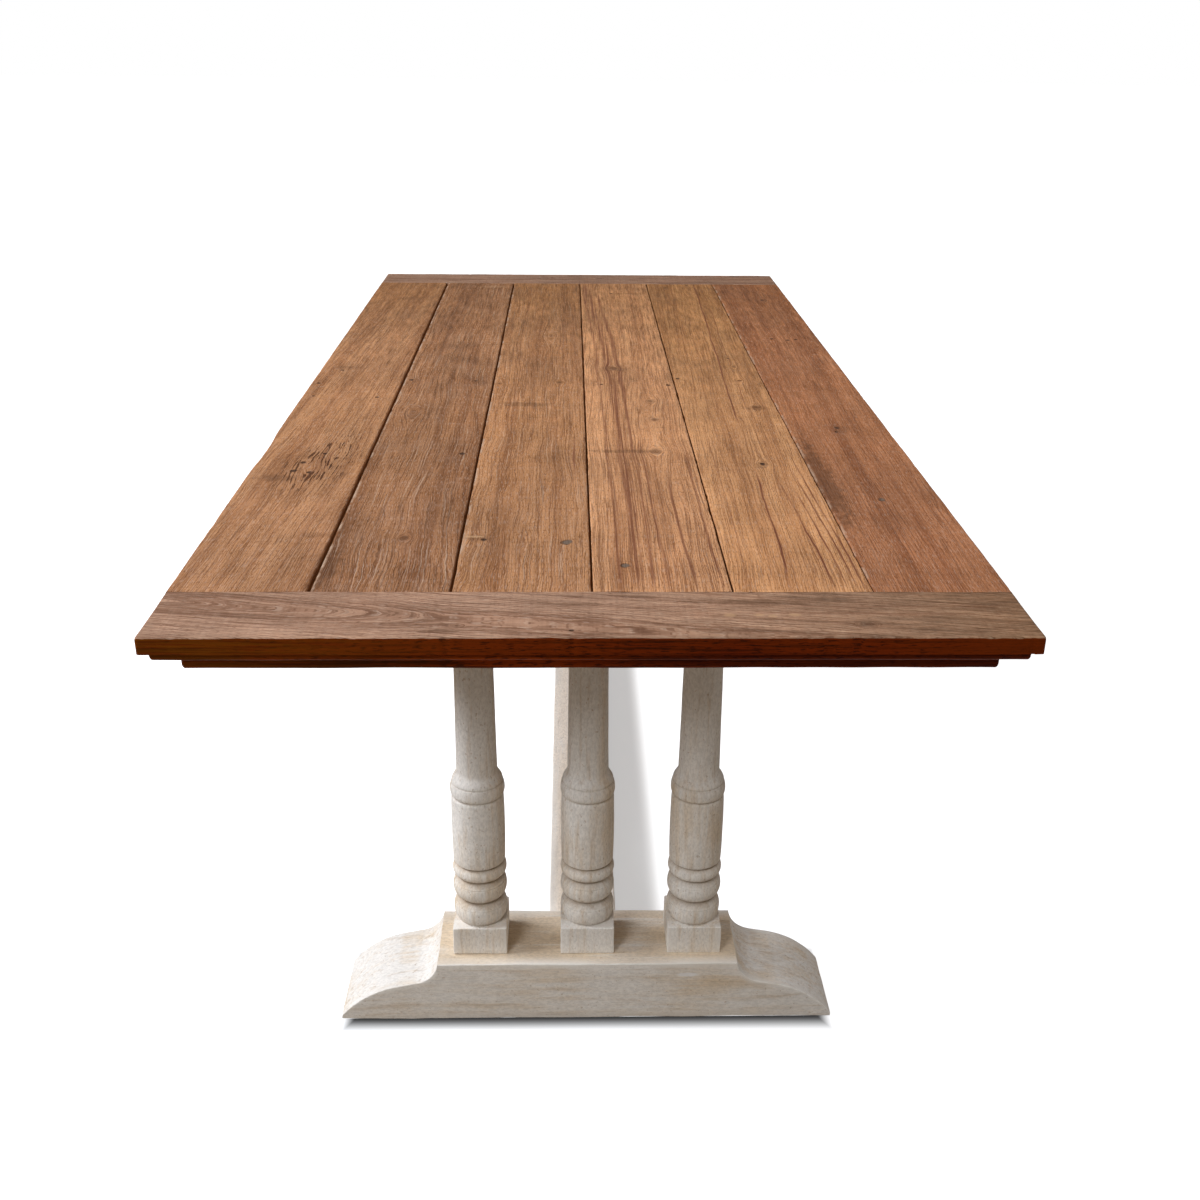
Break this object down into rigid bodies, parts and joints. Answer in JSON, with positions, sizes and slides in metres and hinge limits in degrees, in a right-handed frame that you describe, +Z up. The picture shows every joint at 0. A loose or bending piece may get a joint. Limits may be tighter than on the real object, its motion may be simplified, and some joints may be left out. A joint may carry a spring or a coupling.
{
  "type": "dining table",
  "caption": "Long trestle dining table: plank top with breadboard ends and a stepped edge, on turned balusters standing on sledge feet joined by a low stretcher.",
  "frame": {"origin": "on the floor, under the middle of the top", "axes": "+X across the table to the right, +Y along it to the far end, +Z up"},
  "size_m": [1, 2.2, 0.77],
  "materials": {
    "top_wood": "worn old planks, matt oil",
    "frame_wood": "dark stained, matt",
    "limed_wood": "limed, rubbed back",
    "peg_wood": "plain",
    "screw_steel": "dull zinc"
  },
  "bodies": {
    "root": {"top_board_1": "top_wood", "top_board_2": "top_wood", "top_board_3": "top_wood", "top_board_4": "top_wood", "top_board_5": "top_wood", "top_board_6": "top_wood", "breadboard_end_near": "top_wood", "breadboard_end_far": "top_wood", "edge_strip_near": "frame_wood", "edge_strip_far": "frame_wood", "edge_strip_left": "frame_wood", "edge_strip_right": "frame_wood", "frame_rail_near": "frame_wood", "frame_rail_far": "frame_wood", "frame_rail_left": "frame_wood", "frame_rail_right": "frame_wood", "cross_bearer_1": "frame_wood", "cross_bearer_2": "frame_wood", "cross_bearer_3": "frame_wood", "foot_near": "limed_wood", "foot_far": "limed_wood", "baluster_near_left": "limed_wood", "baluster_near_middle": "limed_wood", "baluster_near_right": "limed_wood", "baluster_far_left": "limed_wood", "baluster_far_middle": "limed_wood", "baluster_far_right": "limed_wood", "head_rail_near": "limed_wood", "head_rail_far": "limed_wood", "stretcher": "limed_wood", "end_pegs_near": "peg_wood", "end_pegs_far": "peg_wood", "stretcher_pegs": "peg_wood", "frame_screws": "screw_steel", "bearer_screws": "screw_steel", "head_screws": "screw_steel"}
  },
  "joints": []
}
